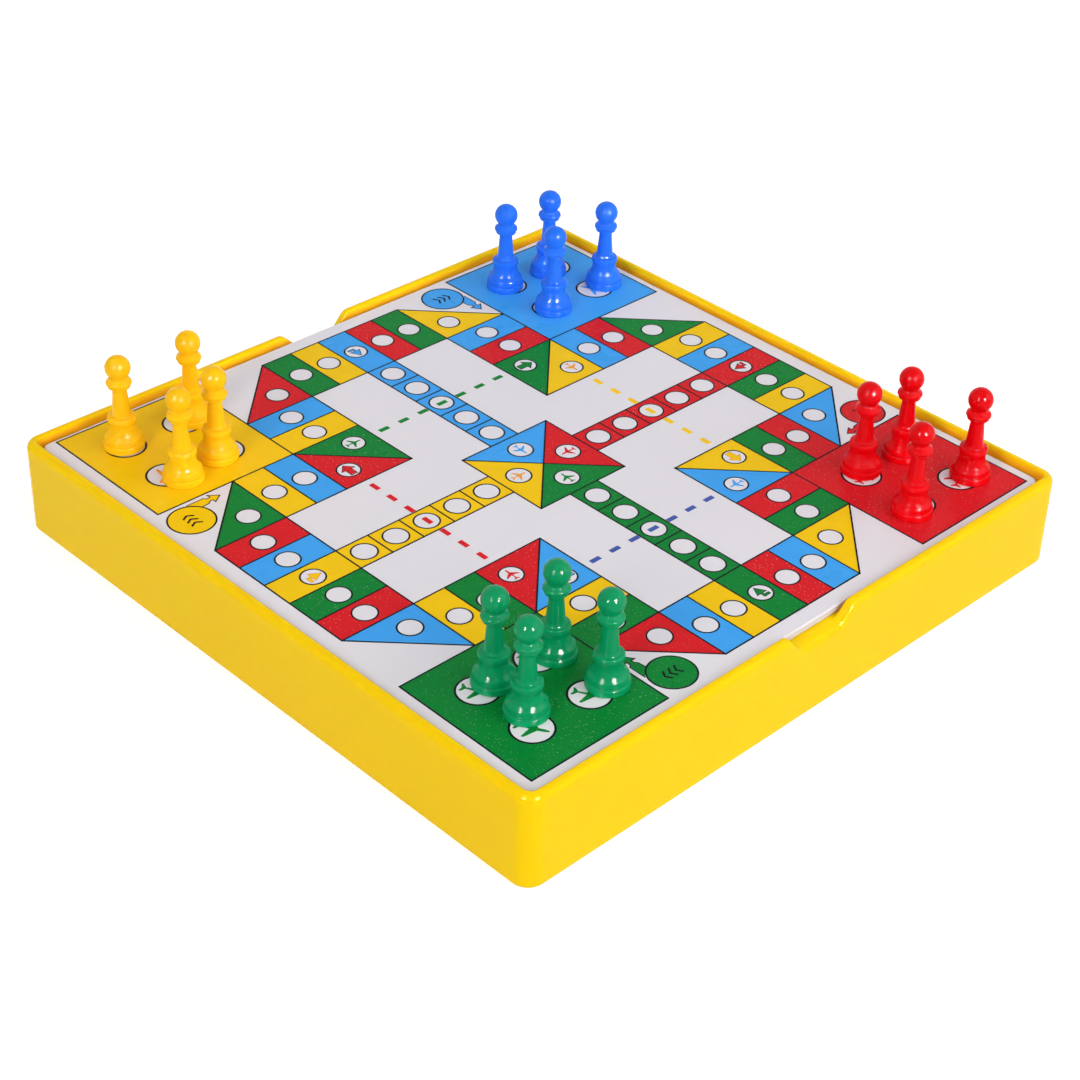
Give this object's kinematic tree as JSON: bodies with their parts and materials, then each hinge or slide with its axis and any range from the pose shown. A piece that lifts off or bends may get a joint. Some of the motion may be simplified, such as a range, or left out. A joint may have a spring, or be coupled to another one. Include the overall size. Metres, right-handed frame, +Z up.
{
  "type": "ludo game",
  "caption": "Square moulded game case with finger notches and a lift-out printed ludo board, coloured turned pawns standing on it and a die stored beneath.",
  "frame": {"origin": "middle of the tray's underside, on the surface that the game stands on", "axes": "+Z up, out of the board; +X and -X through the walls with the finger notches; yellow pawns at -X -Y, green at +X -Y, red at +X +Y, blue at -X +Y"},
  "size_m": [0.1978, 0.1978, 0.0529],
  "materials": {
    "tray": "bright yellow moulded plastic, satin to gloss",
    "board": "white moulded panel, satin, printed on top",
    "die": "white plastic with dark pips",
    "pawn_yellow": "glossy, slightly translucent amber yellow",
    "pawn_green": "glossy, slightly translucent green",
    "pawn_red": "glossy, slightly translucent red",
    "pawn_blue": "glossy, slightly translucent blue"
  },
  "bodies": {
    "case": {"tray": "tray"},
    "board": {"board": "board"},
    "die": {"die": "die"},
    "pawn_yellow_1": {"pawn_yellow_1": "pawn_yellow"},
    "pawn_yellow_2": {"pawn_yellow_2": "pawn_yellow"},
    "pawn_yellow_3": {"pawn_yellow_3": "pawn_yellow"},
    "pawn_yellow_4": {"pawn_yellow_4": "pawn_yellow"},
    "pawn_green_1": {"pawn_green_1": "pawn_green"},
    "pawn_green_2": {"pawn_green_2": "pawn_green"},
    "pawn_green_3": {"pawn_green_3": "pawn_green"},
    "pawn_green_4": {"pawn_green_4": "pawn_green"},
    "pawn_red_1": {"pawn_red_1": "pawn_red"},
    "pawn_red_2": {"pawn_red_2": "pawn_red"},
    "pawn_red_3": {"pawn_red_3": "pawn_red"},
    "pawn_red_4": {"pawn_red_4": "pawn_red"},
    "pawn_blue_1": {"pawn_blue_1": "pawn_blue"},
    "pawn_blue_2": {"pawn_blue_2": "pawn_blue"},
    "pawn_blue_3": {"pawn_blue_3": "pawn_blue"},
    "pawn_blue_4": {"pawn_blue_4": "pawn_blue"}
  },
  "joints": [
    {"name": "board_lift", "type": "slide", "parent": "case", "child": "board", "axis": [0, 0, 1], "range_m": [0, 0.08]},
    {"name": "die_lift", "type": "slide", "parent": "case", "child": "die", "axis": [0, 0, 1], "range_m": [0, 0.007]},
    {"name": "pawn_yellow_1_lift", "type": "slide", "parent": "board", "child": "pawn_yellow_1", "axis": [0, 0, 1], "range_m": [0, 0.04]},
    {"name": "pawn_yellow_2_lift", "type": "slide", "parent": "board", "child": "pawn_yellow_2", "axis": [0, 0, 1], "range_m": [0, 0.04]},
    {"name": "pawn_yellow_3_lift", "type": "slide", "parent": "board", "child": "pawn_yellow_3", "axis": [0, 0, 1], "range_m": [0, 0.04]},
    {"name": "pawn_yellow_4_lift", "type": "slide", "parent": "board", "child": "pawn_yellow_4", "axis": [0, 0, 1], "range_m": [0, 0.04]},
    {"name": "pawn_green_1_lift", "type": "slide", "parent": "board", "child": "pawn_green_1", "axis": [0, 0, 1], "range_m": [0, 0.04]},
    {"name": "pawn_green_2_lift", "type": "slide", "parent": "board", "child": "pawn_green_2", "axis": [0, 0, 1], "range_m": [0, 0.04]},
    {"name": "pawn_green_3_lift", "type": "slide", "parent": "board", "child": "pawn_green_3", "axis": [0, 0, 1], "range_m": [0, 0.04]},
    {"name": "pawn_green_4_lift", "type": "slide", "parent": "board", "child": "pawn_green_4", "axis": [0, 0, 1], "range_m": [0, 0.04]},
    {"name": "pawn_red_1_lift", "type": "slide", "parent": "board", "child": "pawn_red_1", "axis": [0, 0, 1], "range_m": [0, 0.04]},
    {"name": "pawn_red_2_lift", "type": "slide", "parent": "board", "child": "pawn_red_2", "axis": [0, 0, 1], "range_m": [0, 0.04]},
    {"name": "pawn_red_3_lift", "type": "slide", "parent": "board", "child": "pawn_red_3", "axis": [0, 0, 1], "range_m": [0, 0.04]},
    {"name": "pawn_red_4_lift", "type": "slide", "parent": "board", "child": "pawn_red_4", "axis": [0, 0, 1], "range_m": [0, 0.04]},
    {"name": "pawn_blue_1_lift", "type": "slide", "parent": "board", "child": "pawn_blue_1", "axis": [0, 0, 1], "range_m": [0, 0.04]},
    {"name": "pawn_blue_2_lift", "type": "slide", "parent": "board", "child": "pawn_blue_2", "axis": [0, 0, 1], "range_m": [0, 0.04]},
    {"name": "pawn_blue_3_lift", "type": "slide", "parent": "board", "child": "pawn_blue_3", "axis": [0, 0, 1], "range_m": [0, 0.04]},
    {"name": "pawn_blue_4_lift", "type": "slide", "parent": "board", "child": "pawn_blue_4", "axis": [0, 0, 1], "range_m": [0, 0.04]}
  ]
}
